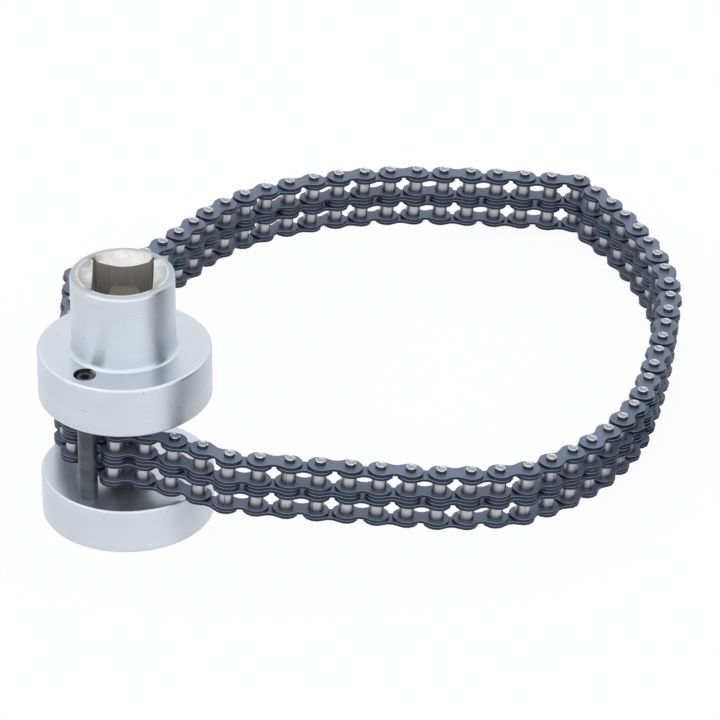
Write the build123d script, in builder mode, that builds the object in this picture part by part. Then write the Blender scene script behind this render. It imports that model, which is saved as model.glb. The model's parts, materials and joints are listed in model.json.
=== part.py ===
from build123d import *
import cmath
import math
import os

# Chain oil filter wrench: a turned steel spool with a square drive socket in its hub, a guide pin
# between its flanges, and an endless two-strand bush chain that passes between core and pin.
# Millimetres. Origin on the spool's axis, at its lower face; +Z up the axis, +X along the front run.

os.makedirs("parts", exist_ok=True)

# Chain, one link and its clearances
PITCH = 6.35
BUSH_DIAMETER = 3.30
PIN_DIAMETER = 2.31
INNER_WIDTH = 3.18
PLATE_THICKNESS = 0.72
INNER_PLATE_HEIGHT = 5.80
OUTER_PLATE_HEIGHT = 5.50
PLATE_WAIST = 3.50
RIVET_STAND = 0.75
PIN_CLEARANCE = 0.07
PLATE_CLEARANCE = 0.12
CENTRE_SEAM = 0.10

# Spool
CORE_DIAMETER = 9.0
LOWER_FLANGE_THICKNESS = 10.4
UPPER_FLANGE_THICKNESS = 11.4
HUB_HEIGHT = 17.6
HUB_WALL = 2.0
CHANNEL_PLAY = 4.3
FLANGE_RIM = 1.95
EDGE_ROUND = 0.6
CORE_ROOT_ROUND = 0.8
HUB_ROOT_ROUND = 1.0
HUB_TOP_ROUND = 0.8

# Square drive socket in the hub
DRIVE_SQUARE = 12.8
DRIVE_DEPTH = 18.0
DRIVE_CORNER_ROUND = 0.5
MOUTH_RIM = 1.3
MOUTH_ANGLE = 120.0
DETENT_DIAMETER = 6.4
DETENT_DEPTH = 1.2
DETENT_BELOW_MOUTH = 9.0

# Guide pin
GUIDE_PIN_DIAMETER = 4.0
GUIDE_HOLE_CLEARANCE = 0.4
GUIDE_SEAT_DEPTH = 8.0
GUIDE_SEAT_CLEARANCE = 0.02
GUIDE_PIN_SUNK = 1.4
GUIDE_PIN_CHAMFER = 0.35
GUIDE_KEY_SIZE = 2.0
GUIDE_KEY_DEPTH = 2.2

# Where the chain passes the throat between core and guide pin
THROAT_PLAY = 1.8
THROAT_CLEARANCE = 0.65
TRAPPED_PIN_ANGLE = 228.3
TRAPPED_LINK_HEADING = -60.0

# The loop droops from the spool until its far end is this far above the surface
FLOOR_GAP = 0.05
DROOP_HEADING = 14.0

# The loop's course as it lies, from the trapped link round to it again: how many links a stretch
# has, the heading at its end in degrees, and which of the two closing trims it takes.
LOOP_COURSE = [
    (1, 0.0, ""),
    (1, -18.0, ""),
    (2, -26.0, ""),
    (1, -1.0, ""),
    (6, 1.0, ""),
    (3, 20.0, ""),
    (1, 37.0, ""),
    (7, 75.0, ""),
    (6, 83.0, ""),
    (3, 102.0, ""),
    (6, 126.0, ""),
    (1, 180.0, ""),
    (5, 187.0, ""),
    (6, 213.0, ""),
    (4, 240.0, ""),
    (3, 236.0, ""),
    (3, 206.0, "corner"),
    (1, 268.0, "side"),
    (7, 271.0, "side"),
    (1, 285.0, ""),
    (1, 330.0, ""),
    (1, 300.0, ""),
]

# Links that one node holds together, by number from the trapped link, which is 1
THROAT_LINKS = [70, 1, 2]
LAST_SINGLE_LINK = 55
JOINED_RUNS = [(56, 57), (58, 61), (62, 65), (66, 69)]

# Chain stack, measured along its pins from the middle of the chain
inner_outside = INNER_WIDTH / 2 + PLATE_THICKNESS
strand_offset = inner_outside + PLATE_CLEARANCE + PLATE_THICKNESS + CENTRE_SEAM / 2
outer_inside = strand_offset + inner_outside + PLATE_CLEARANCE
outer_outside = outer_inside + PLATE_THICKNESS
centre_half = PLATE_THICKNESS + CENTRE_SEAM / 2
pin_half = outer_outside + RIVET_STAND
bore_radius = PIN_DIAMETER / 2 + PIN_CLEARANCE

# Spool heights and radii
channel_height = 2 * pin_half + CHANNEL_PLAY
channel_top = LOWER_FLANGE_THICKNESS + channel_height
flange_top = channel_top + UPPER_FLANGE_THICKNESS
hub_top = flange_top + HUB_HEIGHT
hub_radius = DRIVE_SQUARE / math.sqrt(2) + HUB_WALL
core_radius = CORE_DIAMETER / 2
chain_height = LOWER_FLANGE_THICKNESS + channel_height / 2

# Trapped link: its first pin stands off the core, and its second pin off the guide pin
trapped_pin = cmath.rect(
    core_radius + INNER_PLATE_HEIGHT / 2 + THROAT_CLEARANCE, math.radians(TRAPPED_PIN_ANGLE)
)
front_pin = trapped_pin + cmath.rect(PITCH, math.radians(TRAPPED_LINK_HEADING))
guide_from_axis = core_radius + INNER_PLATE_HEIGHT + THROAT_PLAY + GUIDE_PIN_DIAMETER / 2
guide_hole_radius = GUIDE_PIN_DIAMETER / 2 + GUIDE_HOLE_CLEARANCE
guide_from_front = INNER_PLATE_HEIGHT / 2 + THROAT_CLEARANCE + GUIDE_PIN_DIAMETER / 2
guide_turn = math.acos(
    (abs(front_pin) ** 2 + guide_from_axis**2 - guide_from_front**2)
    / (2 * abs(front_pin) * guide_from_axis)
)
guide_spot = cmath.rect(guide_from_axis, cmath.phase(front_pin) - guide_turn)
flange_radius = guide_from_axis + guide_hole_radius + FLANGE_RIM


def course_headings(trims):
    """Heading of each link in degrees, from the one after the trapped link round to that link."""
    headings = []
    heading = TRAPPED_LINK_HEADING
    for links, end, trim in LOOP_COURSE:
        end += trims.get(trim, 0.0)
        headings += [heading + (end - heading) * step / links for step in range(1, links + 1)]
        heading = end
    return headings


def course_gap(trims):
    """How far the loop is from closing, in pitches, as a complex number."""
    return sum(cmath.rect(1, math.radians(heading)) for heading in course_headings(trims))


def closing_trims():
    """The two small trims, in degrees, on stretches hidden behind the hub that close the loop."""
    trims = {"corner": 0.0, "side": 0.0}
    nudge = 0.01
    for _ in range(12):
        gap = course_gap(trims)
        slopes = {}
        for name in trims:
            slopes[name] = (course_gap({**trims, name: trims[name] + nudge}) - gap) / nudge
        corner, side = slopes["corner"], slopes["side"]
        area = (corner.conjugate() * side).imag
        trims["corner"] -= (gap.conjugate() * side).imag / area
        trims["side"] -= (corner.conjugate() * gap).imag / area
    return trims


def loop_pins():
    """Pins in the chain's own plane, as complex numbers: link number n runs from pin n - 1 to n."""
    pins = [trapped_pin, front_pin]
    for heading in course_headings(closing_trims())[:-1]:
        pins.append(pins[-1] + cmath.rect(PITCH, math.radians(heading)))
    return pins


pins = loop_pins()

# Droop: the farthest pin's lower rim ends just above the surface
droop_unit = cmath.rect(1, math.radians(DROOP_HEADING))
reach = max((pin * droop_unit.conjugate()).real for pin in pins) + PIN_DIAMETER / 2
droop = math.asin((chain_height - FLOOR_GAP) / math.hypot(reach, pin_half)) - math.atan2(
    pin_half, reach
)
chain_normal = Vector(
    math.sin(droop) * droop_unit.real, math.sin(droop) * droop_unit.imag, math.cos(droop)
)
chain_plane = Plane(
    origin=(0, 0, chain_height),
    x_dir=Vector(chain_normal.Z, 0, -chain_normal.X),
    z_dir=chain_normal,
)


def link_plane(number):
    """Plane of a link: origin at its first pin, X towards its second, Z up the pins."""
    first, second = pins[number - 1], pins[number]
    start = chain_plane.from_local_coords(Vector(first.real, first.imag, 0))
    end = chain_plane.from_local_coords(Vector(second.real, second.imag, 0))
    return Plane(origin=start, x_dir=end - start, z_dir=chain_plane.z_dir)


def plate_face(height):
    """Waisted outline of a plate whose pins stand at the origin and one pitch along X."""
    lobe = height / 2
    waist = PLATE_WAIST / 2
    middle = PITCH / 2
    hollow = (middle**2 + waist**2 - lobe**2) / (2 * (lobe - waist))
    meet_x = lobe * middle / (lobe + hollow)
    meet_y = lobe * (waist + hollow) / (lobe + hollow)
    with BuildSketch() as plate:
        with BuildLine():
            ThreePointArc((meet_x, meet_y), (-lobe, 0), (meet_x, -meet_y))
            ThreePointArc((meet_x, -meet_y), (middle, -waist), (PITCH - meet_x, -meet_y))
            ThreePointArc((PITCH - meet_x, -meet_y), (PITCH + lobe, 0), (PITCH - meet_x, meet_y))
            ThreePointArc((PITCH - meet_x, meet_y), (middle, waist), (meet_x, meet_y))
        make_face()
    return plate.sketch


# Outer link, in its own plane: two outer plates and the centre pair, riveted on two pins
with BuildPart() as outer_link:
    for low, high in [
        (-outer_outside, -outer_inside),
        (-centre_half, centre_half),
        (outer_inside, outer_outside),
    ]:
        with BuildSketch(Plane.XY.offset(low)):
            add(plate_face(OUTER_PLATE_HEIGHT))
        extrude(amount=high - low)
    with BuildSketch(Plane.XY.offset(-pin_half)):
        with Locations((0, 0), (PITCH, 0)):
            Circle(PIN_DIAMETER / 2)
    extrude(amount=2 * pin_half)

# Inner link, in its own plane: in each of the two strands, two plates pressed on two bushes
with BuildPart() as inner_link:
    for strand in (-strand_offset, strand_offset):
        for low in (strand - inner_outside, strand + INNER_WIDTH / 2):
            with BuildSketch(Plane.XY.offset(low)):
                add(plate_face(INNER_PLATE_HEIGHT))
                with Locations((0, 0), (PITCH, 0)):
                    Circle(bore_radius, mode=Mode.SUBTRACT)
            extrude(amount=PLATE_THICKNESS)
        with BuildSketch(Plane.XY.offset(strand - INNER_WIDTH / 2)):
            with Locations((0, 0), (PITCH, 0)):
                Circle(BUSH_DIAMETER / 2)
                Circle(bore_radius, mode=Mode.SUBTRACT)
        extrude(amount=INNER_WIDTH)


def link_form(number):
    """Odd links are outer links and even ones inner links."""
    return outer_link.part if number % 2 else inner_link.part


# Spool: one turned piece, lower flange, core, upper flange and hub
with BuildPart() as spool_body:
    with BuildSketch(Plane.XZ):
        with BuildLine():
            FilletPolyline(
                (0, 0),
                (flange_radius, 0),
                (flange_radius, LOWER_FLANGE_THICKNESS),
                (core_radius, LOWER_FLANGE_THICKNESS),
                (core_radius, channel_top),
                (flange_radius, channel_top),
                (flange_radius, flange_top),
                (hub_radius, flange_top),
                (hub_radius, hub_top),
                (0, hub_top),
                radius=[
                    EDGE_ROUND,
                    EDGE_ROUND,
                    CORE_ROOT_ROUND,
                    CORE_ROOT_ROUND,
                    EDGE_ROUND,
                    EDGE_ROUND,
                    HUB_ROOT_ROUND,
                    HUB_TOP_ROUND,
                ],
            )
            Line((0, hub_top), (0, 0))
        make_face()
    revolve(axis=Axis.Z)

    # Square socket with its countersunk mouth
    with BuildSketch(Plane.XY.offset(hub_top)):
        RectangleRounded(DRIVE_SQUARE, DRIVE_SQUARE, DRIVE_CORNER_ROUND)
    extrude(amount=-DRIVE_DEPTH, mode=Mode.SUBTRACT)
    mouth_radius = hub_radius - MOUTH_RIM
    mouth_foot = DRIVE_SQUARE / 2 - DRIVE_CORNER_ROUND
    with Locations((0, 0, hub_top)):
        Cone(
            bottom_radius=mouth_foot,
            top_radius=mouth_radius,
            height=(mouth_radius - mouth_foot) / math.tan(math.radians(MOUTH_ANGLE / 2)),
            align=(Align.CENTER, Align.CENTER, Align.MAX),
            mode=Mode.SUBTRACT,
        )

    # Round recesses in the four walls, where a driver's ball snaps in
    with Locations((0, 0, hub_top - DETENT_BELOW_MOUTH)):
        for turn in (0, 90):
            Cylinder(
                DETENT_DIAMETER / 2,
                DRIVE_SQUARE + 2 * DETENT_DEPTH,
                rotation=(90, 0, turn),
                mode=Mode.SUBTRACT,
            )

    # Guide pin's holes: clear through the upper flange, close and blind in the lower one
    with BuildSketch(Plane.XY.offset(channel_top)):
        with Locations((guide_spot.real, guide_spot.imag)):
            Circle(guide_hole_radius)
    extrude(amount=hub_top - channel_top, mode=Mode.SUBTRACT)
    with BuildSketch(Plane.XY.offset(LOWER_FLANGE_THICKNESS)):
        with Locations((guide_spot.real, guide_spot.imag)):
            Circle(GUIDE_PIN_DIAMETER / 2 + GUIDE_SEAT_CLEARANCE)
    extrude(amount=-GUIDE_SEAT_DEPTH, mode=Mode.SUBTRACT)
spool_body.part.label = "spool_body"
export_step(spool_body.part, "parts/spool_body.step")

# Guide pin: stands in the lower flange, its keyed end sunk in the upper one
guide_foot = LOWER_FLANGE_THICKNESS - GUIDE_SEAT_DEPTH
guide_head = flange_top - GUIDE_PIN_SUNK
with BuildPart() as guide_pin:
    with BuildSketch(Plane.XY.offset(guide_foot)):
        with Locations((guide_spot.real, guide_spot.imag)):
            Circle(GUIDE_PIN_DIAMETER / 2)
    extrude(amount=guide_head - guide_foot)
    chamfer(guide_pin.edges().filter_by(GeomType.CIRCLE), GUIDE_PIN_CHAMFER)
    with BuildSketch(Plane.XY.offset(guide_head)):
        with Locations((guide_spot.real, guide_spot.imag)):
            RegularPolygon(GUIDE_KEY_SIZE / 2, 6, major_radius=False)
    extrude(amount=-GUIDE_KEY_DEPTH, mode=Mode.SUBTRACT)
guide_pin.part.label = "guide_pin"
export_step(guide_pin.part, "parts/guide_pin.step")

# Chain links trapped in the throat, which stay with the spool
with BuildPart() as chain_in_throat:
    for number in THROAT_LINKS:
        with Locations(link_plane(number)):
            add(link_form(number))
chain_in_throat.part.label = "chain_in_throat"
export_step(chain_in_throat.part, "parts/chain_in_throat.step")

# Links that turn one by one
for number in range(THROAT_LINKS[-1] + 1, LAST_SINGLE_LINK + 1):
    with BuildPart() as link:
        with Locations(link_plane(number)):
            add(link_form(number))
    link.part.label = f"{'outer' if number % 2 else 'inner'}_link_{number:02d}"
    export_step(link.part, f"parts/{link.part.label}.step")

# Short runs of links behind the hub, each moving as one
for first, last in JOINED_RUNS:
    with BuildPart() as run:
        for number in range(first, last + 1):
            with Locations(link_plane(number)):
                add(link_form(number))
    run.part.label = f"chain_run_{first}_{last}"
    export_step(run.part, f"parts/{run.part.label}.step")
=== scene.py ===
import json
import math
from types import SimpleNamespace

import bmesh
import bpy
from bpy.props import FloatProperty, FloatVectorProperty, IntProperty, PointerProperty
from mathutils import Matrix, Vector


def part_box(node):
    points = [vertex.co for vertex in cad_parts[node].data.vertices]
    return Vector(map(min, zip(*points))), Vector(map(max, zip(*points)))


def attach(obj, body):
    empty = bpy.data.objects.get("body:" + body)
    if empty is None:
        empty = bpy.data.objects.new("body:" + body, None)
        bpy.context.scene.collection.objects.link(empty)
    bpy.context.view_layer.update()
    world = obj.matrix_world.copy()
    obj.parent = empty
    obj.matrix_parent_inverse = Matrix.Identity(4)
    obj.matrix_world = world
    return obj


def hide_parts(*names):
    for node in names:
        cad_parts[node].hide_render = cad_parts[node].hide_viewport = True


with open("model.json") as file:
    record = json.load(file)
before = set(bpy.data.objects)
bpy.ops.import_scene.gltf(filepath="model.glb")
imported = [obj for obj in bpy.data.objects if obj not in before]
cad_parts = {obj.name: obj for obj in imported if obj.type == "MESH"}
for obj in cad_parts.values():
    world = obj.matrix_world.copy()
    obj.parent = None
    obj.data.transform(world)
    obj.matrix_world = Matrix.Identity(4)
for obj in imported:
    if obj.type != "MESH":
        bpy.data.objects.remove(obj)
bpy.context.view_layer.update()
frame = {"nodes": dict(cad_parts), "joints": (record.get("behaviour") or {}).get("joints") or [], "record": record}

bl_info = {
    "name": "Chain filter wrench",
    "version": (1, 0, 0),
    "blender": (4, 5, 0),
    "location": "View3D > Sidebar > Wrench",
    "description": "Finishes a chain oil filter wrench over its measured frame",
    "category": "Object",
}

# Where the frame's hinges stand, how far apart two neighbours are, and the way their pins rise
HINGE_SPOTS = [Vector(joint["pos_m"]) for joint in frame["joints"]]
PITCH = (HINGE_SPOTS[1] - HINGE_SPOTS[0]).length
RISE = Vector(frame["joints"][0]["axis"]).normalized()

# Frame nodes that aren't chain, and the links that the throat's node holds
SPOOL_NODES = ("spool_body", "guide_pin")
THROAT_LINKS = [70, 1, 2]

# The hub's top and the guide pin's middle, from the frame
HUB_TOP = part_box("spool_body")[1].z
GUIDE_PIN_LOW, GUIDE_PIN_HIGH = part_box("guide_pin")
GUIDE_PIN_MIDDLE = (GUIDE_PIN_LOW + GUIDE_PIN_HIGH) / 2

# Where the spool's finishes and its painted light and shade meet, in metres. A reach is from the spool's
# axis, a depth is down from the hub's top, and a fade is where a finish starts and where it is full. The
# guide pin's hole gets a painted highlight on the side where its lean, which grows by this much per
# metre along X and Y, is high.
INSIDE_REACH, INSIDE_DEPTH = 0.0098, 0.0185
SQUARE_HALF, CORNER_START = 0.00643, 0.00585
MOUTH_DEPTH = 0.0030
FLOOR_FADE = (0.0172, 0.0178)
RIM_DEPTH_FADE, RIM_REACH_FADE = (0.0003, 0.0001), (0.0093, 0.0095)
# The recesses in the socket's walls get painted shade above their middle, painted light below it and a painted
# highlight round their edge
RECESS_DEPTH, RECESS_PAINTED_LIGHT_FADE, RECESS_HIGHLIGHT_FADE = 0.0090, (0.0020, 0.0005), (0.0021, 0.0024)
# The spool's middle between the flanges gets painted shade
CORE_REACH, CORE_DEPTH = 0.0048, 0.0190
HOLE_FADE = (0.00246, 0.00241)
HOLE_HIGHLIGHT_SIDE, HOLE_HIGHLIGHT_FADE = (400.0, 130.0), (0.62, 0.95)

# Scales of the streaks that the broach leaves in the socket, per metre
STREAKS_ACROSS, STREAKS_ALONG = 2600.0, 120.0

# How the finished spool and guide pin differ from the frame's, in metres: the hub's rim is wider
# over the same cone, the socket's corner rounds bulge by a share of their size into ears, and the
# guide pin's head is lifted
RIM_GAIN, MOUTH_STEEPNESS = 0.0005, math.tan(math.radians(60))
EAR_START, EAR_REACH, EAR_DEPTH, EAR_BULGE = 0.0059, 0.00051, 0.019, 0.75
CONE_DEPTH = 0.0012
HEAD_HEIGHT, HEAD_LIFT = 0.0006, 0.0009

# Faces that meet at more than this keep a sharp edge
SHARP_ANGLE = math.radians(28)

# Points nearer than these are merged, or count as at one height, on one ring or on the mouth's cone
MERGED, SAME_HEIGHT, ON_RING, ON_CONE = 1e-7, 1e-6, 1e-5, 2e-5

# The stage in metres: where the lamps aim, the floor, and how far the flat cards lie over the ground
AIM = Vector((0.05, 0.05, 0.02))
FLOOR_HALF_SIDE, FLOOR_DROP, CARD_LIFT = 3.0, 0.00005, 0.0004

# How pins are found in the frame, in metres: how near the top a pin's end lies, how wide it is at
# most, and how near two spots of one pin are
END_MARGIN, END_WIDTH, SAME_PIN = 0.00005, 0.0027, 0.0005

# Sides of the chain's round parts, the depth of the split that shows in a bush, and a link's bushes
PIN_SIDES, BUSH_SIDES, BORE_SIDES = 16, 16, 12
SPLIT_DEPTH = 0.00022
BUSHES_PER_LINK = 4.0

# A riveted end: height and width of its tumbled edge, and how far in its dish starts and is full
RIVET_EDGE_HEIGHT, RIVET_EDGE_WIDTH, DISH_START, DISH_FULL = 0.00010, 0.00008, 0.00028, 0.00039


class ChainSizes(bpy.types.PropertyGroup):
    """Sizes of the chain's plates, pins and bushes."""

    outer_height: FloatProperty(
        name="Outer plate height", description="Across the round end of an outer plate",
        default=0.0055, unit="LENGTH")
    inner_height: FloatProperty(
        name="Inner plate height", description="Across the round end of an inner plate",
        default=0.0058, unit="LENGTH")
    waist: FloatProperty(
        name="Plate waist", description="Across the middle of a plate",
        default=0.0035, unit="LENGTH")
    thickness: FloatProperty(
        name="Plate thickness", description="Thickness of every plate",
        default=0.00072, unit="LENGTH")
    edge: FloatProperty(
        name="Plate edge", description="Width of the tumbled edge of a plate",
        default=0.00009, unit="LENGTH")
    strand: FloatProperty(
        name="Strand offset", description="From the chain's middle to the middle of a strand",
        default=0.0032, unit="LENGTH")
    inner_width: FloatProperty(
        name="Inner width", description="Clear width between the inner plates of a strand",
        default=0.00318, unit="LENGTH")
    outer_middle: FloatProperty(
        name="Outer plate offset", description="From the chain's middle to the middle of an outer plate",
        default=0.00599, unit="LENGTH")
    centre_seam: FloatProperty(
        name="Centre seam", description="Gap between the two plates of the centre pair",
        default=0.0001, unit="LENGTH")
    pin_radius: FloatProperty(
        name="Pin radius", description="Radius of a pin",
        default=0.001155, unit="LENGTH")
    pin_half: FloatProperty(
        name="Half pin length", description="From the chain's middle to a pin's lower end",
        default=0.0071, unit="LENGTH")
    proud: FloatProperty(
        name="Upper end", description="How much further a pin stands out on the chain's upper side",
        default=0.0002, unit="LENGTH")
    dish: FloatProperty(
        name="Rivet dish", description="Depth of the dish in a riveted pin end",
        default=0.00013, unit="LENGTH")
    bush_radius: FloatProperty(
        name="Bush radius", description="Outer radius of a bush",
        default=0.00165, unit="LENGTH")
    bore_radius: FloatProperty(
        name="Bore radius", description="Radius of the bores in bushes and inner plates",
        default=0.001225, unit="LENGTH")
    split: FloatProperty(
        name="Bush split", description="Width of the split in a rolled bush",
        default=0.00012, unit="LENGTH")
    seed: IntProperty(
        name="Seed", description="Seed of the bushes' turns and the plates' shades", default=175)


class FinishColours(bpy.types.PropertyGroup):
    """Colours of the finishes."""

    plating: FloatVectorProperty(
        name="Plating", description="Satin plating of the spool", subtype="COLOR", size=3,
        min=0, max=1, default=(0.65, 0.70, 0.76))
    mouth: FloatVectorProperty(
        name="Mouth patches", description="Warm patches on the socket's countersunk mouth", subtype="COLOR",
        size=3, min=0, max=1, default=(0.62, 0.55, 0.46))
    socket: FloatVectorProperty(
        name="Socket", description="Machined steel inside the drive socket", subtype="COLOR", size=3,
        min=0, max=1, default=(0.40, 0.39, 0.37))
    blued: FloatVectorProperty(
        name="Blued plate", description="Blued steel of the chain plates", subtype="COLOR", size=3,
        min=0, max=1, default=(0.141, 0.174, 0.250))
    rivet: FloatVectorProperty(
        name="Rivet", description="Bright steel of the riveted pin ends", subtype="COLOR", size=3,
        min=0, max=1, default=(0.60, 0.61, 0.63))
    bush: FloatVectorProperty(
        name="Bush", description="Grey steel of the bushes", subtype="COLOR", size=3,
        min=0, max=1, default=(0.52, 0.515, 0.56))
    black: FloatVectorProperty(
        name="Black oxide", description="Black oxide of the guide pin", subtype="COLOR", size=3,
        min=0, max=1, default=(0.060, 0.066, 0.077))


class StageSettings(bpy.types.PropertyGroup):
    """Camera and light."""

    lens: FloatProperty(
        name="Lens", description="Focal length of the camera", default=243.8, unit="CAMERA")
    tilt: FloatProperty(
        name="Tilt", description="How far the camera is raised from looking straight down",
        default=math.radians(58.57), subtype="ANGLE")
    place: FloatVectorProperty(
        name="Camera place", description="Where the camera stands", subtype="TRANSLATION", size=3,
        default=(0.0496, -0.8770, 0.5726))
    key_power: FloatProperty(
        name="Key light", description="Power of the large key light", default=3.0, unit="POWER")
    fill_power: FloatProperty(
        name="Fill light", description="Power of the fill lights", default=1.75, unit="POWER")
    sky: FloatProperty(
        name="Sky", description="Strength of the even light from all round", default=0.65, min=0)


class Nodes:
    """Builds nodes in a tree and links them by socket."""

    def __init__(self, tree):
        self.tree = tree

    def new(self, kind, inputs=(), **settings):
        node = self.tree.nodes.new(kind)
        for name, value in settings.items():
            setattr(node, name, value)
        for socket, value in dict(inputs).items():
            self.feed(node.inputs[socket], value)
        return node

    def feed(self, socket, value):
        if isinstance(value, bpy.types.NodeSocket):
            self.tree.links.new(value, socket)
        elif isinstance(value, bpy.types.Node):
            self.tree.links.new(value.outputs[0], socket)
        else:
            socket.default_value = value

    def math(self, operation, *values):
        node = self.new("ShaderNodeMath", operation=operation)
        for socket, value in zip(node.inputs, values):
            self.feed(socket, value)
        return node.outputs[0]

    def plus(self, first, second):
        return self.math("ADD", first, second)

    def minus(self, first, second):
        return self.math("SUBTRACT", first, second)

    def times(self, first, second):
        return self.math("MULTIPLY", first, second)

    def below(self, value, limit):
        return self.math("LESS_THAN", value, limit)

    def above(self, value, limit):
        return self.math("GREATER_THAN", value, limit)

    def larger(self, first, second):
        return self.math("MAXIMUM", first, second)

    def length(self, x, y):
        """How far (x, y) is from the origin."""
        flat = self.new("ShaderNodeCombineXYZ", {"X": x, "Y": y})
        return self.new("ShaderNodeVectorMath", {0: flat}, operation="LENGTH").outputs["Value"]

    def smooth(self, value, low, high, start=0.0, end=1.0):
        """A soft step from start, where the value is low, to end, where it is high."""
        node = self.new("ShaderNodeMapRange", interpolation_type="SMOOTHSTEP", inputs={
            "Value": value, "From Min": low, "From Max": high, "To Min": start, "To Max": end})
        return node.outputs[0]

    def mix(self, factor, first, second):
        """A colour between the first and the second."""
        node = self.new("ShaderNodeMix", data_type="RGBA")
        self.feed(node.inputs[0], factor)
        self.feed(node.inputs[6], first)
        self.feed(node.inputs[7], second)
        return node.outputs[2]

    def noise(self, vector, scale, detail):
        node = self.new("ShaderNodeTexNoise", {"Vector": vector, "Scale": scale, "Detail": detail})
        return node.outputs["Fac"]

    def attribute(self, name):
        return self.new("ShaderNodeAttribute", attribute_name=name).outputs["Fac"]

    def split(self, vector):
        """The X, Y and Z of a vector."""
        parts = self.new("ShaderNodeSeparateXYZ", {"Vector": vector}).outputs
        return parts["X"], parts["Y"], parts["Z"]


def rgba(colour, shade=1.0):
    """The colour, lighter or darker by the shade."""
    return tinted(colour, (shade, shade, shade))


def tinted(colour, shades):
    """The colour with its own shade for each of red, green and blue."""
    return (*[channel * shade for channel, shade in zip(colour, shades)], 1.0)


def shader_group(name, inputs, outputs):
    """The nodes of a new shader node group with named sockets, and its input and output nodes."""
    group = bpy.data.node_groups.new(name, "ShaderNodeTree")
    for label, kind, default in inputs:
        socket = group.interface.new_socket(label, in_out="INPUT", socket_type=kind)
        if default is not None:
            socket.default_value = default
    for label, kind in outputs:
        group.interface.new_socket(label, in_out="OUTPUT", socket_type=kind)
    nodes = Nodes(group)
    return nodes, nodes.new("NodeGroupInput").outputs, nodes.new("NodeGroupOutput").inputs


def tool_marks_group():
    """Fine rings that a lathe tool leaves round the spool's axis, on its faces and along its sides."""
    nodes, given, out = shader_group(
        "Tool marks",
        [("Vector", "NodeSocketVector", None), ("Rings per Metre", "NodeSocketFloat", 2600.0)],
        [("Height", "NodeSocketFloat"), ("Shade", "NodeSocketFloat")],
    )
    x, y, z = nodes.split(given["Vector"])
    per_metre = given["Rings per Metre"]
    spread = nodes.new("ShaderNodeCombineXYZ", {
        "X": nodes.times(nodes.length(x, y), per_metre), "Y": nodes.times(z, per_metre)})
    rings, broad = nodes.noise(spread, 1.0, 3.0), nodes.noise(spread, 0.12, 1.0)
    nodes.feed(out["Height"], rings)
    nodes.feed(out["Shade"], nodes.plus(nodes.times(rings, 0.5), nodes.times(broad, 0.5)))


def mottle_group():
    """Uneven patches and fine speckle, for platings and blued steel."""
    nodes, given, out = shader_group(
        "Mottle",
        [("Vector", "NodeSocketVector", None), ("Patches", "NodeSocketFloat", 160.0),
         ("Speckle", "NodeSocketFloat", 4200.0)],
        [("Patch", "NodeSocketFloat"), ("Grain", "NodeSocketFloat")],
    )
    patch = nodes.noise(given["Vector"], given["Patches"], 3.0)
    nodes.feed(out["Patch"], nodes.smooth(patch, 0.34, 0.66))
    nodes.feed(out["Grain"], nodes.noise(given["Vector"], given["Speckle"], 2.0))


def pits_group():
    """Sparse small pits and dings."""
    nodes, given, out = shader_group(
        "Pits",
        [("Vector", "NodeSocketVector", None), ("Density", "NodeSocketFloat", 800.0)],
        [("Pit", "NodeSocketFloat")],
    )
    noise = nodes.noise(given["Vector"], given["Density"], 1.0)
    nodes.feed(out["Pit"], nodes.smooth(noise, 0.755, 0.79))


def use_group(nodes, name, **inputs):
    """The outputs of a shader node group placed in a material."""
    return nodes.new("ShaderNodeGroup", node_tree=bpy.data.node_groups[name], inputs=inputs).outputs


def add_relief(nodes, shader, height, strength, distance=0.00004):
    bump = nodes.new("ShaderNodeBump", {"Strength": strength, "Distance": distance, "Height": height})
    nodes.feed(shader.inputs["Normal"], bump.outputs["Normal"])


def add_steel_surface(nodes, shader, grain, rough, spread, metallic, strength):
    """Grainy roughness and relief, over a plain metallic value."""
    nodes.feed(shader.inputs["Roughness"], nodes.plus(nodes.times(grain, spread), rough))
    shader.inputs["Metallic"].default_value = metallic
    add_relief(nodes, shader, grain, strength)


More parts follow.
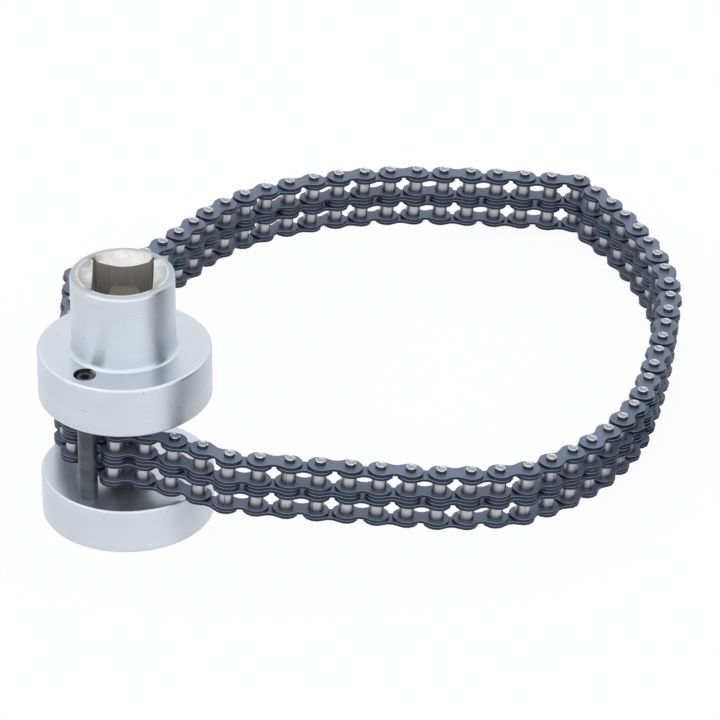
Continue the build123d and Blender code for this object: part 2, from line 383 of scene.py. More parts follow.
def spool_masks(nodes, place):
    """Where each of the spool's finishes lies, and the measures that the masks come from."""
    x, y, z = nodes.split(place)
    across, deep = nodes.math("ABSOLUTE", x), nodes.math("ABSOLUTE", y)
    side, corner = nodes.larger(across, deep), nodes.math("MINIMUM", across, deep)
    reach, depth = nodes.length(x, y), nodes.minus(HUB_TOP, z)

    # The whole inside, then the socket's four walls, the recesses in them, its floor and its mouth
    inside = nodes.times(nodes.below(reach, INSIDE_REACH), nodes.below(depth, INSIDE_DEPTH))
    in_square = nodes.larger(nodes.below(side, SQUARE_HALF), nodes.above(corner, CORNER_START))
    walls = nodes.times(inside, nodes.larger(in_square, nodes.above(depth, MOUTH_DEPTH)))
    recess = nodes.times(walls, nodes.minus(1.0, in_square))
    over_recess = nodes.minus(RECESS_DEPTH, depth)
    rim = nodes.times(nodes.smooth(depth, *RIM_DEPTH_FADE), nodes.smooth(reach, *RIM_REACH_FADE))

    # The guide pin's hole through the upper flange gets painted shade inside and a painted highlight on one side
    hole_x, hole_y = nodes.minus(x, GUIDE_PIN_MIDDLE.x), nodes.minus(y, GUIDE_PIN_MIDDLE.y)
    hole = nodes.times(nodes.smooth(nodes.length(hole_x, hole_y), *HOLE_FADE),
                       nodes.above(z, GUIDE_PIN_MIDDLE.z))
    lean = nodes.plus(nodes.times(hole_x, HOLE_HIGHLIGHT_SIDE[0]), nodes.times(hole_y, HOLE_HIGHLIGHT_SIDE[1]))
    return SimpleNamespace(
        x=x, y=y, z=z, inside=inside, walls=walls, recess=recess, over_recess=over_recess,
        rim=rim, hole=hole,
        mouth=nodes.minus(inside, walls),
        floor=nodes.times(walls, nodes.smooth(depth, *FLOOR_FADE)),
        from_recess=nodes.length(corner, over_recess),
        # The spool's middle between the flanges, which gets painted shade
        core=nodes.times(nodes.below(reach, CORE_REACH), nodes.above(depth, CORE_DEPTH)),
        hole_highlight=nodes.smooth(lean, *HOLE_HIGHLIGHT_FADE),
    )


def socket_colour(nodes, spool, colours):
    """Broached streaks down the socket's walls, painted light and shade in the recesses in them with a painted
    highlight round their edge, and a warm floor.
    """
    stretched = nodes.new("ShaderNodeCombineXYZ", {
        "X": nodes.times(spool.x, STREAKS_ACROSS), "Y": nodes.times(spool.y, STREAKS_ACROSS),
        "Z": nodes.times(spool.z, STREAKS_ALONG)})
    broached = nodes.mix(
        nodes.noise(stretched, 1.0, 2.0), rgba(colours.socket, 0.72), rgba(colours.socket, 1.3))
    # Painted shade above the recess's middle, warm painted light below it, and a painted highlight round its edge
    recess_painted_light = nodes.mix(nodes.smooth(spool.over_recess, *RECESS_PAINTED_LIGHT_FADE),
                       rgba(colours.socket, 1.25), rgba(colours.mouth, 1.35))
    recess_painted_light = nodes.mix(nodes.smooth(spool.from_recess, *RECESS_HIGHLIGHT_FADE), recess_painted_light, rgba(colours.plating, 1.2))
    broached = nodes.mix(spool.recess, broached, recess_painted_light)
    return nodes.mix(spool.floor, broached, rgba(colours.mouth, 0.95))


def mouth_colour(nodes, place, patch, colours):
    """Warm patches and specks over the plating of the socket's mouth."""
    fine = use_group(nodes, "Mottle", Vector=place, Patches=620.0, Speckle=3000.0)
    uneven = nodes.mix(fine["Patch"], rgba(colours.plating, 1.06), rgba(colours.plating, 0.84))
    patched = nodes.mix(nodes.times(patch, 0.85), uneven, rgba(colours.mouth, 1.05))
    return nodes.mix(nodes.smooth(fine["Grain"], 0.52, 0.85), patched, rgba(colours.mouth, 0.82))


def plated_steel(nodes, shader, place, colours):
    """Satin zinc over turning marks, warm patches in the mouth, bare steel in the drive socket, and painted light
    and shade in the socket's recesses, on the spool's middle and in the guide pin's hole.
    """
    marks = use_group(nodes, "Tool marks", Vector=place)
    mottle = use_group(nodes, "Mottle", Vector=place)
    pit = use_group(nodes, "Pits", Vector=place)["Pit"]
    spool = spool_masks(nodes, place)

    base = nodes.mix(nodes.times(mottle["Patch"], 0.5),
                     rgba(colours.plating, 0.97), rgba(colours.plating, 1.05))
    base = nodes.mix(nodes.smooth(marks["Shade"], 0.35, 0.7), base, rgba(colours.plating, 0.95))
    base = nodes.mix(nodes.times(pit, 0.45), base, rgba(colours.plating, 0.45))
    base = nodes.mix(spool.rim, base, rgba(colours.plating, 0.70))
    base = nodes.mix(spool.mouth, base, mouth_colour(nodes, place, mottle["Patch"], colours))
    base = nodes.mix(spool.walls, base, socket_colour(nodes, spool, colours))
    # Painted shade on the spool's middle between the flanges
    base = nodes.mix(spool.core, base, rgba(colours.socket, 0.3))
    # Painted shade inside the guide pin's hole, and a painted highlight on one side of it
    bored = nodes.mix(spool.hole_highlight, rgba(colours.black, 0.6), rgba(colours.mouth, 1.3))
    nodes.feed(shader.inputs["Base Color"], nodes.mix(spool.hole, base, bored))

    rough = nodes.plus(nodes.times(marks["Shade"], 0.12), 0.30)
    rough = nodes.plus(rough, nodes.times(mottle["Grain"], 0.06))
    rough = nodes.plus(rough, nodes.times(spool.inside, 0.12))
    facing = nodes.split(nodes.new("ShaderNodeNewGeometry").outputs["Normal"])[2]
    flat = nodes.smooth(facing, 0.6, 0.95)
    nodes.feed(shader.inputs["Roughness"], nodes.times(rough, nodes.smooth(flat, 0.0, 1.0, 1.0, 0.82)))
    bare = nodes.larger(spool.walls, spool.hole)
    nodes.feed(shader.inputs["Metallic"], nodes.minus(0.94, nodes.times(bare, 0.42)))

    # Turning marks run round the axis, so reflections stretch across them, less on the flat faces
    around = nodes.new("ShaderNodeCombineXYZ", {"X": nodes.times(spool.y, -1.0), "Y": spool.x})
    along = nodes.new("ShaderNodeVectorMath", {0: around}, operation="NORMALIZE")
    nodes.feed(shader.inputs["Tangent"], along)
    shader.inputs["Anisotropic"].default_value = 0.6
    nodes.feed(shader.inputs["Anisotropic"], nodes.times(
        nodes.minus(1.0, spool.inside), nodes.smooth(flat, 0.0, 1.0, 0.82, 0.3)))
    shader.inputs["Anisotropic Rotation"].default_value = 0.25
    relief = nodes.plus(marks["Height"], nodes.times(mottle["Grain"], 0.6))
    relief = nodes.minus(relief, nodes.times(pit, 2.0))
    add_relief(nodes, shader, relief, 0.09, 0.00006)


def blued_steel(nodes, shader, place, colours):
    """Blued steel of the plates, each link a little lighter, darker or greener than the next."""
    mottle = use_group(nodes, "Mottle", Vector=place, Patches=420.0, Speckle=5200.0)
    tone = nodes.attribute("tone")
    base = nodes.mix(tone, rgba(colours.blued, 0.88), rgba(colours.blued, 1.12))
    base = nodes.mix(nodes.smooth(tone, 0.945, 0.975), base, tinted(colours.blued, (0.74, 0.96, 0.84)))
    base = nodes.mix(nodes.times(mottle["Patch"], 0.3), base, rgba(colours.blued, 1.35))
    # Painted shade darkens the plates' sides
    base = nodes.mix(nodes.attribute("sheared"), base, tinted(colours.blued, (0.05, 0.09, 0.14)))
    # Wear and a painted highlight lighten the plates' bevels
    base = nodes.mix(nodes.attribute("worn"), base, rgba(colours.blued, 1.25))
    nodes.feed(shader.inputs["Base Color"], base)
    add_steel_surface(nodes, shader, mottle["Grain"], rough=0.32, spread=0.16, metallic=0.35, strength=0.22)


def rivet_steel(nodes, shader, place, colours):
    """Bright steel of the pins, duller and grainier in the dish of a riveted end, with painted shade on their
    sides.
    """
    mottle = use_group(nodes, "Mottle", Vector=place, Patches=1300.0, Speckle=7000.0)
    dish = nodes.attribute("dish")
    bright = nodes.mix(mottle["Patch"], rgba(colours.rivet, 0.88), rgba(colours.rivet, 1.05))
    dull = nodes.mix(mottle["Patch"], rgba(colours.rivet, 0.58), rgba(colours.rivet, 0.68))
    end = nodes.mix(dish, bright, dull)
    # Painted shade darkens the pins' sides between their ends
    nodes.feed(shader.inputs["Base Color"], nodes.mix(
        nodes.attribute("shank"), end, rgba(colours.rivet, 0.22)))
    rough = nodes.plus(nodes.times(dish, 0.15), 0.15)
    add_steel_surface(nodes, shader, mottle["Grain"], rough=rough, spread=0.14, metallic=0.95, strength=0.1)


def bush_steel(nodes, shader, place, colours):
    """Grey rolled steel of the bushes, with painted shade darkening their lower ends."""
    mottle = use_group(nodes, "Mottle", Vector=place, Patches=700.0, Speckle=6000.0)
    steel = nodes.mix(mottle["Patch"], rgba(colours.bush, 0.9), rgba(colours.bush, 1.08))
    # Painted shade: the lower ends of the bushes are darkened
    painted_low_shade = nodes.smooth(nodes.attribute("raised"), 0.62, 0.08, 0.0, 0.8)
    nodes.feed(shader.inputs["Base Color"], nodes.mix(painted_low_shade, steel, rgba(colours.bush, 0.2)))
    add_steel_surface(nodes, shader, mottle["Grain"], rough=0.33, spread=0.16, metallic=0.95, strength=0.16)


def black_oxide(nodes, shader, place, colours):
    """Black oxide of the guide pin, scuffed a little brighter in patches."""
    mottle = use_group(nodes, "Mottle", Vector=place, Patches=380.0, Speckle=5200.0)
    nodes.feed(shader.inputs["Base Color"], nodes.mix(
        mottle["Patch"], rgba(colours.black), rgba(colours.black, 1.5)))
    add_steel_surface(nodes, shader, mottle["Grain"], rough=0.24, spread=0.16, metallic=0.6, strength=0.16)


MAKERS = {
    "Plated steel": plated_steel,
    "Blued steel": blued_steel,
    "Rivet steel": rivet_steel,
    "Bush steel": bush_steel,
    "Black oxide": black_oxide,
}


def finish_named(name):
    """The named material, made when it is first asked for, with the groups it uses."""
    if "Tool marks" not in bpy.data.node_groups:
        tool_marks_group()
        mottle_group()
        pits_group()
    if name not in bpy.data.materials:
        material = bpy.data.materials.new(name)
        material.use_nodes = True
        nodes = Nodes(material.node_tree)
        shader = material.node_tree.nodes["Principled BSDF"]
        place = nodes.new("ShaderNodeTexCoord").outputs["Object"]
        MAKERS[name](nodes, shader, place, bpy.context.scene.wrench_colours)
    return bpy.data.materials[name]


def saved(mesh, name):
    """The bmesh as mesh data."""
    data = bpy.data.meshes.new(name)
    mesh.to_mesh(data)
    mesh.free()
    return data


def show(name, data):
    """A new object at the origin with this mesh."""
    piece = bpy.data.objects.new(name, data)
    bpy.context.scene.collection.objects.link(piece)
    return piece


def evaluated_mesh(piece):
    """A plain mesh of the piece with its modifiers applied."""
    bpy.context.view_layer.update()
    solid = piece.evaluated_get(bpy.context.evaluated_depsgraph_get())
    return bpy.data.meshes.new_from_object(solid)


def arc(centre, radius, start, end, steps):
    """Points along an arc, its start and its end among them."""
    angles = [start + (end - start) * step / steps for step in range(steps + 1)]
    return [centre + Vector((radius * math.cos(angle), radius * math.sin(angle))) for angle in angles]


def plate_outline(height, waist, inset=0.0, round_steps=10, waist_steps=3):
    """Waisted outline of a plate, its pins at the origin and one pitch along X."""
    lobe, half, middle = height / 2, waist / 2, PITCH / 2
    hollow = (middle**2 + half**2 - lobe**2) / (2 * (lobe - half))
    meet = math.atan2(half + hollow, middle)
    above, below = Vector((middle, half + hollow)), Vector((middle, -half - hollow))
    lobe, hollow = lobe - inset, hollow + inset
    left = arc(Vector((0, 0)), lobe, meet, math.tau - meet, round_steps)
    lower = arc(below, hollow, math.pi - meet, meet, waist_steps)
    right = arc(Vector((PITCH, 0)), lobe, meet - math.pi, math.pi - meet, round_steps)
    upper = arc(above, hollow, -meet, meet - math.pi, waist_steps)
    return left[:-1] + lower[:-1] + right[:-1] + upper[:-1]


def ring(mesh, points, z):
    return [mesh.verts.new((point.x, point.y, z)) for point in points]


def bridge(mesh, low, high, smooth=True):
    """Quads between two rings, facing out when low is below high and both run anticlockwise."""
    faces = []
    for step in range(len(low)):
        after = (step + 1) % len(low)
        face = mesh.faces.new((low[step], low[after], high[after], high[step]))
        face.smooth = smooth
        faces.append(face)
    return faces


def ring_edges(mesh, verts):
    return [mesh.edges.get((vert, verts[(step + 1) % len(verts)])) for step, vert in enumerate(verts)]


def crease(mesh, *rings):
    """Marks the rings' edges sharp."""
    for verts in rings:
        for edge in ring_edges(mesh, verts):
            edge.smooth = False


def circle(x, radius, sides):
    """Points round a circle, without the last one, which would be the first again."""
    return arc(Vector((x, 0)), radius, 0, math.tau, sides)[:-1]


def finish_template(mesh, name):
    """A hidden object that the chain's tree takes its copies from."""
    bmesh.ops.recalc_face_normals(mesh, faces=mesh.faces[:])
    template = show(name, saved(mesh, name))
    template.hide_render = True
    return template


def plate_template(name, height, sizes, bored):
    """A stamped plate with tumbled edges, and bores for its bushes if asked."""
    mesh = bmesh.new()
    half, edge = sizes.thickness / 2, sizes.edge
    wide = plate_outline(height, sizes.waist)
    narrow = plate_outline(height, sizes.waist, inset=edge)
    rings = [ring(mesh, narrow, -half), ring(mesh, wide, edge - half),
             ring(mesh, wide, half - edge), ring(mesh, narrow, half)]
    # The sides are marked for painted shade
    sheared, worn = mesh.faces.layers.float.new("sheared"), mesh.faces.layers.float.new("worn")
    # The bevels are marked for wear and a painted highlight
    for low, high, layer in zip(rings, rings[1:], (worn, sheared, worn)):
        for face in bridge(mesh, low, high):
            face[layer] = 1.0
    caps = ([rings[0]], [rings[3]])
    if bored:
        for x in (0.0, PITCH):
            bore = circle(x, sizes.bore_radius, BORE_SIDES)
            low, high = ring(mesh, bore, -half), ring(mesh, bore, half)
            bridge(mesh, high, low)
            caps[0].append(low)
            caps[1].append(high)
        for cap in caps:
            borders = [border for verts in cap for border in ring_edges(mesh, verts)]
            bmesh.ops.triangle_fill(mesh, use_beauty=True, use_dissolve=False, edges=borders)
    else:
        mesh.faces.new(rings[0][::-1])
        mesh.faces.new(rings[3])
    crease(mesh, *caps[0], *caps[1])
    return finish_template(mesh, name)


def pin_template(sizes):
    """A pin with a dished, riveted end at top and bottom, the upper one standing further out."""
    mesh = bmesh.new()
    radius = sizes.pin_radius
    top, bottom = sizes.pin_half + sizes.proud, -sizes.pin_half
    profile = [(radius, RIVET_EDGE_HEIGHT), (radius - RIVET_EDGE_WIDTH, 0.0), (radius - DISH_START, 0.0),
               (radius - DISH_FULL, sizes.dish)]
    upper = [ring(mesh, circle(0, across, PIN_SIDES), top - depth) for across, depth in profile]
    lower = [ring(mesh, circle(0, across, PIN_SIDES), bottom + depth) for across, depth in profile]
    course = lower[::-1] + upper
    # The long side faces are marked for painted shade
    dish, shank = mesh.faces.layers.float.new("dish"), mesh.faces.layers.float.new("shank")
    for low, high in zip(course, course[1:]):
        for face in bridge(mesh, low, high):
            face[shank] = 1.0 if low is lower[0] else 0.0
    for face in (mesh.faces.new(upper[-1]), mesh.faces.new(lower[-1][::-1])):
        face[dish] = 1.0
    crease(mesh, *course)
    return finish_template(mesh, "rivet_pin")


def bush_template(sizes):
    """A rolled bush: a tube with a narrow split down its side, its ends a little way into the plates."""
    mesh = bmesh.new()
    half = sizes.inner_width / 2 + sizes.thickness / 4
    gap = sizes.split / sizes.bush_radius / 2
    axis = Vector((0, 0))
    outer = arc(axis, sizes.bush_radius, gap, math.tau - gap, BUSH_SIDES)
    outer.append(Vector((sizes.bush_radius - SPLIT_DEPTH, 0)))
    inner = arc(axis, sizes.bore_radius, gap, math.tau - gap, BUSH_SIDES)
    inner.append(Vector((sizes.bore_radius, 0)))
    out_low, out_high = ring(mesh, outer, -half), ring(mesh, outer, half)
    in_low, in_high = ring(mesh, inner, -half), ring(mesh, inner, half)
    bridge(mesh, out_low, out_high)
    bridge(mesh, in_high, in_low)
    bridge(mesh, out_high, in_high, smooth=False)
    bridge(mesh, in_low, out_low, smooth=False)
    crease(mesh, out_low, out_high, in_low, in_high)
    for step in (0, BUSH_SIDES, BUSH_SIDES + 1):
        mesh.edges.get((out_low[step], out_high[step])).smooth = False
    # Marks the upper half, so that the lower ends can get painted shade
    raised = mesh.verts.layers.float.new("raised")
    for vert in mesh.verts:
        vert[raised] = 1.0 if vert.co.z > 0 else 0.0
    return finish_template(mesh, "rolled_bush")


LINK_INPUTS = [
    ("Geometry", "NodeSocketGeometry"),
    ("Pitch", "NodeSocketFloat"),
    ("Outer Plate Offset", "NodeSocketFloat"),
    ("Centre Plate Offset", "NodeSocketFloat"),
    ("Strand Offset", "NodeSocketFloat"),
    ("Inner Plate Offset", "NodeSocketFloat"),
    ("Seed", "NodeSocketInt"),
    ("Outer Plate", "NodeSocketObject"),
    ("Inner Plate", "NodeSocketObject"),
    ("Pin", "NodeSocketObject"),
    ("Bush", "NodeSocketObject"),
    ("Plate Finish", "NodeSocketMaterial"),
    ("Pin Finish", "NodeSocketMaterial"),
    ("Bush Finish", "NodeSocketMaterial"),
]


def chain_tree():
    """Geometry tree that builds a whole link on each point from its along and rise directions."""
    tree = bpy.data.node_groups.new("Chain links", "GeometryNodeTree")
    for label, kind in LINK_INPUTS:
        tree.interface.new_socket(label, in_out="INPUT", socket_type=kind)
    tree.interface.new_socket("Geometry", in_out="OUTPUT", socket_type="NodeSocketGeometry")
    nodes = Nodes(tree)
    given, out = nodes.new("NodeGroupInput"), nodes.new("NodeGroupOutput")

    def named(name, kind):
        node = nodes.new("GeometryNodeInputNamedAttribute", {"Name": name}, data_type=kind)
        return node.outputs["Attribute"]

    def turn():
        node = nodes.new("FunctionNodeAxesToRotation", primary_axis="Z", secondary_axis="X")
        nodes.feed(node.inputs[0], named("rise", "FLOAT_VECTOR"))
        nodes.feed(node.inputs[1], named("along", "FLOAT_VECTOR"))
        return node.outputs[0]

    def template(name):
        return nodes.new("GeometryNodeObjectInfo", {"Object": given.outputs[name]}).outputs["Geometry"]

    def spots(*places):
        """Points of a small mesh at each (x, z)."""
        joined = nodes.new("GeometryNodeJoinGeometry")
        for x, z in places:
            place = nodes.new("ShaderNodeCombineXYZ", {"X": x, "Z": z})
            point = nodes.new("GeometryNodeMeshLine", {"Count": 1, "Start Location": place})
            tree.links.new(point.outputs["Mesh"], joined.inputs["Geometry"])
        return joined.outputs["Geometry"]

    def stand(points, shape, rotation=None):
        """The shape on each point."""
        node = nodes.new("GeometryNodeInstanceOnPoints", {"Points": points, "Instance": shape})
        if rotation is not None:
            nodes.feed(node.inputs["Rotation"], rotation)
        return node.outputs["Instances"]

    def place_links(points, link):
        return stand(points, link, turn())

    def dress(finish, *parts):
        """The parts joined, made real and given their finish."""
        joined = nodes.new("GeometryNodeJoinGeometry")
        for part in parts:
            tree.links.new(part, joined.inputs["Geometry"])
        solid = nodes.new("GeometryNodeRealizeInstances", {"Geometry": joined})
        return nodes.new("GeometryNodeSetMaterial", {"Geometry": solid, "Material": finish}).outputs[0]

    def minus(value):
        return nodes.times(value, -1.0)

    number = named("number", "INT")
    tone = nodes.new("FunctionNodeRandomValue", {"Seed": given.outputs["Seed"]}, data_type="FLOAT")
    nodes.feed(tone.inputs["ID"], number)
    toned = nodes.new("GeometryNodeStoreNamedAttribute", {
        "Geometry": given.outputs["Geometry"], "Name": "tone"}, data_type="FLOAT", domain="POINT")
    nodes.feed(toned.inputs["Value"], tone.outputs[1])
    is_inner = nodes.new("FunctionNodeCompare", data_type="INT", operation="EQUAL")
    nodes.feed(is_inner.inputs[2], nodes.math("MODULO", number, 2.0))
    nodes.feed(is_inner.inputs[3], 0)
    split = nodes.new("GeometryNodeSeparateGeometry", {
        "Geometry": toned, "Selection": is_inner.outputs[0]}, domain="POINT")
    inner_points, outer_points = split.outputs["Selection"], split.outputs["Inverted"]

    pitch = given.outputs["Pitch"]
    outer_z, centre_z = given.outputs["Outer Plate Offset"], given.outputs["Centre Plate Offset"]
    strand, wall = given.outputs["Strand Offset"], given.outputs["Inner Plate Offset"]

    outer_plates = stand(
        spots((0.0, outer_z), (0.0, minus(outer_z)), (0.0, centre_z), (0.0, minus(centre_z))),
        template("Outer Plate"))
    pins = stand(spots((0.0, 0.0), (pitch, 0.0)), template("Pin"))
    over, under = nodes.plus(strand, wall), nodes.minus(strand, wall)
    inner_plates = stand(
        spots((0.0, over), (0.0, under), (0.0, minus(under)), (0.0, minus(over))), template("Inner Plate"))

    # Each bush gets its own turn about its axis, so its split faces its own way
    bush_spots = nodes.new("GeometryNodeRealizeInstances", {"Geometry": place_links(
        inner_points, spots((0.0, strand), (pitch, strand), (0.0, minus(strand)), (pitch, minus(strand))))})
    spin = nodes.new("FunctionNodeRandomValue", {"Seed": given.outputs["Seed"]}, data_type="FLOAT")
    nodes.feed(spin.inputs[2], 0.0)
    nodes.feed(spin.inputs[3], math.tau)
    index = nodes.new("GeometryNodeInputIndex").outputs[0]
    nodes.feed(spin.inputs["ID"], nodes.plus(nodes.times(number, BUSHES_PER_LINK), index))
    about = nodes.new("FunctionNodeAxisAngleToRotation", {"Axis": (0, 0, 1), "Angle": spin.outputs[1]})
    turned = nodes.new("FunctionNodeRotateRotation", rotation_space="LOCAL")
    nodes.feed(turned.inputs[0], turn())
    nodes.feed(turned.inputs[1], about.outputs[0])

    whole = nodes.new("GeometryNodeJoinGeometry")
    for part in (
        dress(given.outputs["Plate Finish"],
              place_links(outer_points, outer_plates), place_links(inner_points, inner_plates)),
        dress(given.outputs["Pin Finish"], place_links(outer_points, pins)),
        dress(given.outputs["Bush Finish"], stand(bush_spots, template("Bush"), turned.outputs[0])),
    ):
        tree.links.new(part, whole.inputs["Geometry"])
    nodes.feed(out.inputs["Geometry"], whole)
    return tree


def middle(points):
    """The middle of the box round the points."""
    sides = list(zip(*points))
    return (Vector([min(side) for side in sides]) + Vector([max(side) for side in sides])) / 2


def frame_pins():
    """Every pin of the chain in order from the one that the first hinge turns on.

    A pin's end is the highest part of an outer link, so the pins are read from the tops of the
    frame's chain nodes."""
    start = HINGE_SPOTS[0].dot(RISE)
    lowest = bpy.context.scene.wrench_sizes.pin_half - END_MARGIN
    spots = []
    for name, node in frame["nodes"].items():
        if name in SPOOL_NODES:
            continue
        heights = [(vert.co, vert.co.dot(RISE) - start) for vert in node.data.vertices]
        ends = []
        for spot in [co - RISE * height for co, height in heights if height > lowest]:
            for end in ends:
                if (spot - end[0]).length < END_WIDTH:
                    end.append(spot)
                    break
            else:
                ends.append([spot])
        spots += [middle(end) for end in ends]
    course = HINGE_SPOTS[:2]
    left = [spot for spot in spots if min((spot - done).length for done in course) > SAME_PIN]
    while left:
        nearest = min(left, key=lambda spot: (spot - course[-1]).length)
        course.append(nearest)
        left.remove(nearest)
    return course


def link_numbers(body, nodes):
    """Numbers of the links that a body holds, from the names of its nodes."""
    if body == "spool":
        return THROAT_LINKS
    digits = [int(word) for word in nodes[0].split("_") if word.isdigit()]
    return list(range(digits[0], digits[-1] + 1))


def link_seeds(numbers, pin):
    """One point for each link, at its first pin, with its number and the ways along it and up."""
    seeds = bpy.data.meshes.new("link_seeds")
    seeds.from_pydata([pin(number - 1) for number in numbers], [], [])
    for name, kind in (("along", "FLOAT_VECTOR"), ("rise", "FLOAT_VECTOR"), ("number", "INT")):
        seeds.attributes.new(name, kind, "POINT")
    for place, number in enumerate(numbers):
        seeds.attributes["along"].data[place].vector = (pin(number) - pin(number - 1)).normalized()
        seeds.attributes["rise"].data[place].vector = RISE
        seeds.attributes["number"].data[place].value = number
    return seeds


def grown_links(seeds, tree, values):
    """The plain mesh that the chain's tree makes of the seeds."""
    carrier = show("link_seeds", seeds)
    modifier = carrier.modifiers.new("Links", "NODES")
    modifier.node_group = tree
    for item in tree.interface.items_tree:
        if item.in_out == "INPUT" and item.name in values:
            modifier[item.identifier] = values[item.name]
    mesh = evaluated_mesh(carrier)
    bpy.data.objects.remove(carrier)
    return mesh


class WRENCH_OT_chain(bpy.types.Operator):
    """Builds the chain's links, one mesh for each body they ride on"""

    bl_idname = "wrench.chain"
    bl_label = "Chain"

    def execute(self, context):
        sizes = context.scene.wrench_sizes
        templates = {
            "Outer Plate": plate_template("outer_plate", sizes.outer_height, sizes, False),
            "Inner Plate": plate_template("inner_plate", sizes.inner_height, sizes, True),
            "Pin": pin_template(sizes),
            "Bush": bush_template(sizes),
        }
        values = {
            "Pitch": PITCH,
            "Outer Plate Offset": sizes.outer_middle,
            "Centre Plate Offset": (sizes.thickness + sizes.centre_seam) / 2,
            "Strand Offset": sizes.strand,
            "Inner Plate Offset": (sizes.inner_width + sizes.thickness) / 2,
            "Seed": sizes.seed,
            "Plate Finish": finish_named("Blued steel"),
            "Pin Finish": finish_named("Rivet steel"),
            "Bush Finish": finish_named("Bush steel"),
            **templates,
        }
        tree = chain_tree()
        pins = frame_pins()
        count = len(pins)

        # The first hinge turns on the pin before link 3, so pin number n is at place n - 2
        def pin(number):
            return pins[(number - 2) % count]

        for body, nodes in frame["record"]["behaviour"]["bodies"].items():
            chain_nodes = [node for node in nodes if node not in SPOOL_NODES]
            mesh = grown_links(link_seeds(link_numbers(body, chain_nodes), pin), tree, values)
            mesh.name = f"{chain_nodes[0]}_finished"
            piece = show(f"{chain_nodes[0]}_finished", mesh)
            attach(piece, body)
            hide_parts(*chain_nodes)
        for template in templates.values():
            bpy.data.objects.remove(template)
        return {"FINISHED"}


def narrow_mouth(mesh, top, mouth):
    """Draws the socket's countersunk mouth in, so the hub has its broad flat rim.

    The cone sinks along the socket's walls by what keeps its slope."""
    for vert in mesh.verts:
        reach = vert.co.xy.length
        if vert.co.z > top - SAME_HEIGHT:
            if reach < mouth + ON_RING:
                vert.co.xy *= 1 - RIM_GAIN / reach
        elif abs(reach - mouth + (top - vert.co.z) * MOUTH_STEEPNESS) < ON_CONE:
            vert.co.z -= RIM_GAIN / MOUTH_STEEPNESS


def relieve_corners(mesh, top, mouth):
    """Rounds the square socket's corners out into small ears, as the broach leaves them."""
    for vert in mesh.verts:
        x, y, depth = abs(vert.co.x) - EAR_START, abs(vert.co.y) - EAR_START, top - vert.co.z
        if min(x, y) < -SAME_HEIGHT or max(x, y) > EAR_REACH or not 0 < depth < EAR_DEPTH:
            continue
        bulge = EAR_BULGE * math.sqrt(max(0.0, math.sin(2 * math.atan2(y, x))))
        vert.co.x += math.copysign(x * bulge, vert.co.x)
        vert.co.y += math.copysign(y * bulge, vert.co.y)
        if depth < CONE_DEPTH:
            vert.co.z = top - (mouth - vert.co.xy.length) / MOUTH_STEEPNESS


def shape_socket(mesh):
    """Gives the hub its broad rim, and the socket its eared corners."""
    top = max(vert.co.z for vert in mesh.verts)
    for shape in (narrow_mouth, relieve_corners):
        mouth = min(vert.co.xy.length for vert in mesh.verts if vert.co.z > top - SAME_HEIGHT)
        shape(mesh, top, mouth)


def raise_head(mesh):
    """Lifts the guide pin's keyed end to just under the face that it is sunk in."""
    head = max(vert.co.z for vert in mesh.verts)
    for vert in mesh.verts:
        if vert.co.z > head - HEAD_HEIGHT:
            vert.co.z += HEAD_LIFT


def smooth_copy(node_name, piece_name, shape):
    """A merged, reshaped and smooth-shaded copy of a frame node, with its sharp edges kept."""
    mesh = bmesh.new()
    mesh.from_mesh(frame["nodes"][node_name].data)
    bmesh.ops.remove_doubles(mesh, verts=mesh.verts[:], dist=MERGED)
    shape(mesh)
    for face in mesh.faces:
        face.smooth = True
    for edge in mesh.edges:
        edge.smooth = len(edge.link_faces) == 2 and edge.calc_face_angle() < SHARP_ANGLE
    piece = show(piece_name, saved(mesh, piece_name))
    weighted = piece.modifiers.new("Weighted", "WEIGHTED_NORMAL")
    weighted.keep_sharp = True
    weighted.weight = 100
    piece.data = evaluated_mesh(piece)
    piece.modifiers.clear()
    piece.data.materials.clear()
    return piece


class WRENCH_OT_spool(bpy.types.Operator):
    """Finishes the turned spool with its square socket"""

    bl_idname = "wrench.spool"
    bl_label = "Spool"

    def execute(self, context):
        piece = smooth_copy("spool_body", "spool_finished", shape_socket)
        piece.data.materials.append(finish_named("Plated steel"))
        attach(piece, "spool")
        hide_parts("spool_body")
        return {"FINISHED"}


class WRENCH_OT_guide_pin(bpy.types.Operator):
    """Finishes the black guide pin between the flanges"""

    bl_idname = "wrench.guide_pin"
    bl_label = "Guide pin"

    def execute(self, context):
        piece = smooth_copy("guide_pin", "guide_pin_finished", raise_head)
        piece.data.materials.append(finish_named("Black oxide"))
        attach(piece, "spool")
        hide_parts("guide_pin")
        return {"FINISHED"}


def area_light(name, place, size, power):
    """A soft rectangular lamp, aimed at the wrench."""
    light = bpy.data.lights.new(name, "AREA")
    light.shape = "RECTANGLE"
    light.size, light.size_y = size
    light.energy = power
    lamp = bpy.data.objects.new(name, light)
    lamp.location = place
    lamp.rotation_euler = (AIM - Vector(place)).to_track_quat("-Z", "Y").to_euler()
    bpy.context.scene.collection.objects.link(lamp)


def direct_rays(nodes):
    """One for rays that see the background: from the camera, in reflections and through clear things."""
    paths = nodes.new("ShaderNodeLightPath").outputs
    return nodes.larger(nodes.larger(paths["Is Camera Ray"], paths["Is Glossy Ray"]),
                        paths["Is Transmission Ray"])


def sheet(name, half_side):
    """A flat square."""
    mesh = bmesh.new()
    bmesh.ops.create_grid(mesh, x_segments=1, y_segments=1, size=half_side)
    return show(name, saved(mesh, name))


def bare_nodes(holder):
    """The emptied nodes of a material or a world."""
    holder.use_nodes = True
    holder.node_tree.nodes.clear()
    return Nodes(holder.node_tree)


def blended(nodes, factor, first, second):
    """A shader between the first and the second."""
    blend = nodes.new("ShaderNodeMixShader", {0: factor})
    nodes.feed(blend.inputs[1], first)
    nodes.feed(blend.inputs[2], second)
    return blend


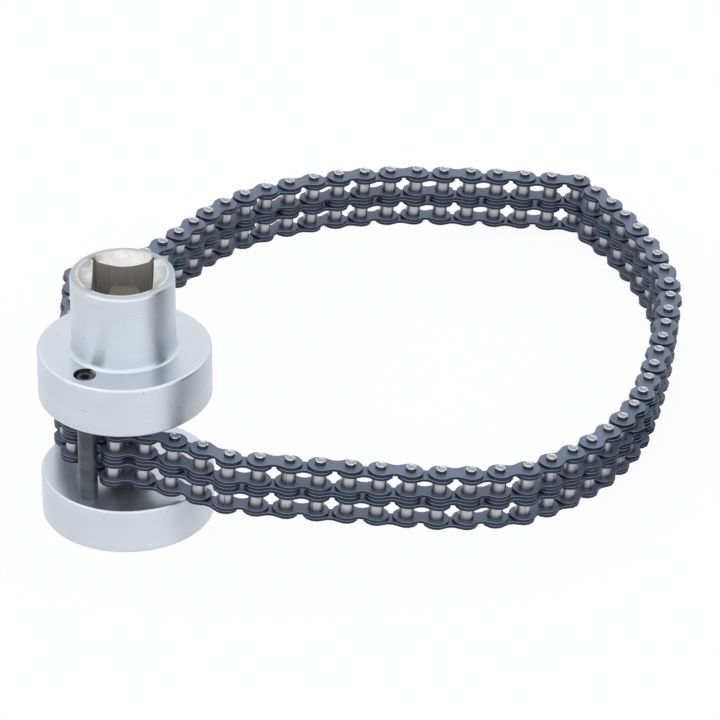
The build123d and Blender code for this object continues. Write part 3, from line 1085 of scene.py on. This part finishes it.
def dark_card(name, centre, size, upright=False):
    """A dark card, upright and facing the axis or lying flat, seen in the metal's reflections only."""
    card = sheet(name, half_side=0.5)
    card.scale = (*size, 1)
    card.location = centre
    if upright:
        card.rotation_euler = (math.radians(90), 0, math.atan2(centre[1], centre[0]) - math.radians(90))
    material = bpy.data.materials.new("Dark card")
    nodes = bare_nodes(material)
    matt = nodes.new("ShaderNodeBsdfDiffuse", {"Color": (0.02, 0.02, 0.022, 1)})
    nodes.new("ShaderNodeOutputMaterial", {"Surface": matt})
    card.data.materials.append(material)
    card.visible_camera = card.visible_diffuse = card.visible_shadow = False


def pale_floor():
    """A pale floor that shows white to direct rays and keeps a little of the wrench's shadow."""
    floor = sheet("floor", FLOOR_HALF_SIDE)
    floor.location.z = -FLOOR_DROP
    material = bpy.data.materials.new("Pale floor")
    nodes = bare_nodes(material)
    matt = nodes.new("ShaderNodeBsdfDiffuse", {"Color": (0.80, 0.81, 0.82, 1)})
    white = nodes.new("ShaderNodeEmission", {"Color": (1, 1, 1, 1), "Strength": 1.02})
    seen = nodes.times(direct_rays(nodes), 0.92)
    nodes.new("ShaderNodeOutputMaterial", {"Surface": blended(nodes, seen, matt, white)})
    floor.data.materials.append(material)


def pale_sky(strength):
    """An even light from all round, white to direct rays."""
    world = bpy.data.worlds.new("Pale sky")
    nodes = bare_nodes(world)
    even = nodes.new("ShaderNodeBackground", {"Color": (0.93, 0.96, 1.0, 1), "Strength": strength})
    white = nodes.new("ShaderNodeBackground", {"Color": (1, 1, 1, 1), "Strength": 1.0})
    nodes.new("ShaderNodeOutputWorld", {"Surface": blended(nodes, direct_rays(nodes), even, white)})
    return world


class WRENCH_OT_stage(bpy.types.Operator):
    """Sets the floor, the lights, the sky and the camera"""

    bl_idname = "wrench.stage"
    bl_label = "Stage"

    def execute(self, context):
        scene, stage = context.scene, context.scene.wrench_stage
        pale_floor()
        scene.world = pale_sky(stage.sky)
        area_light("key", (-0.45, -0.55, 0.75), (1.6, 1.2), stage.key_power)
        area_light("fill_right", (0.55, -0.75, 0.50), (1.05, 1.05), stage.fill_power)
        area_light("top", (0.05, 0.30, 0.95), (1.4, 1.0), stage.fill_power)
        dark_card("card_right", (0.80, -0.05, 0.45), (0.36, 0.90), upright=True)
        dark_card("card_low", (0.41, -0.02, CARD_LIFT), (0.50, 0.30))
        dark_card("card_near", (0.137, -0.035, CARD_LIFT), (0.046, 0.13))

        camera = bpy.data.objects.new("camera", bpy.data.cameras.new("camera"))
        camera.data.lens = stage.lens
        camera.data.sensor_width = 36.0
        camera.location = stage.place
        camera.rotation_euler = (stage.tilt, 0, 0)
        camera.data.clip_end = 20.0
        scene.collection.objects.link(camera)
        scene.camera = camera
        scene.view_settings.view_transform = "Standard"
        return {"FINISHED"}


class WRENCH_PT_pieces(bpy.types.Panel):
    """Lists the wrench's pieces, sizes and finishes"""

    bl_label = "Chain filter wrench"
    bl_idname = "WRENCH_PT_pieces"
    bl_space_type = "VIEW_3D"
    bl_region_type = "UI"
    bl_category = "Wrench"

    def draw(self, context):
        layout = self.layout
        for operator in OPERATORS:
            layout.operator(operator.bl_idname)
        for group in (context.scene.wrench_sizes, context.scene.wrench_colours, context.scene.wrench_stage):
            box = layout.box()
            for name in group.__annotations__:
                box.prop(group, name)


OPERATORS = (WRENCH_OT_spool, WRENCH_OT_guide_pin, WRENCH_OT_chain, WRENCH_OT_stage)
CLASSES = (ChainSizes, FinishColours, StageSettings, *OPERATORS, WRENCH_PT_pieces)


def register():
    for cls in CLASSES:
        bpy.utils.register_class(cls)
    bpy.types.Scene.wrench_sizes = PointerProperty(type=ChainSizes)
    bpy.types.Scene.wrench_colours = PointerProperty(type=FinishColours)
    bpy.types.Scene.wrench_stage = PointerProperty(type=StageSettings)


def unregister():
    del bpy.types.Scene.wrench_stage
    del bpy.types.Scene.wrench_colours
    del bpy.types.Scene.wrench_sizes
    for cls in reversed(CLASSES):
        bpy.utils.unregister_class(cls)


def main():
    register()
    bpy.ops.wrench.spool()
    bpy.ops.wrench.guide_pin()
    bpy.ops.wrench.chain()
    bpy.ops.wrench.stage()


if __name__ == "__main__":
    main()
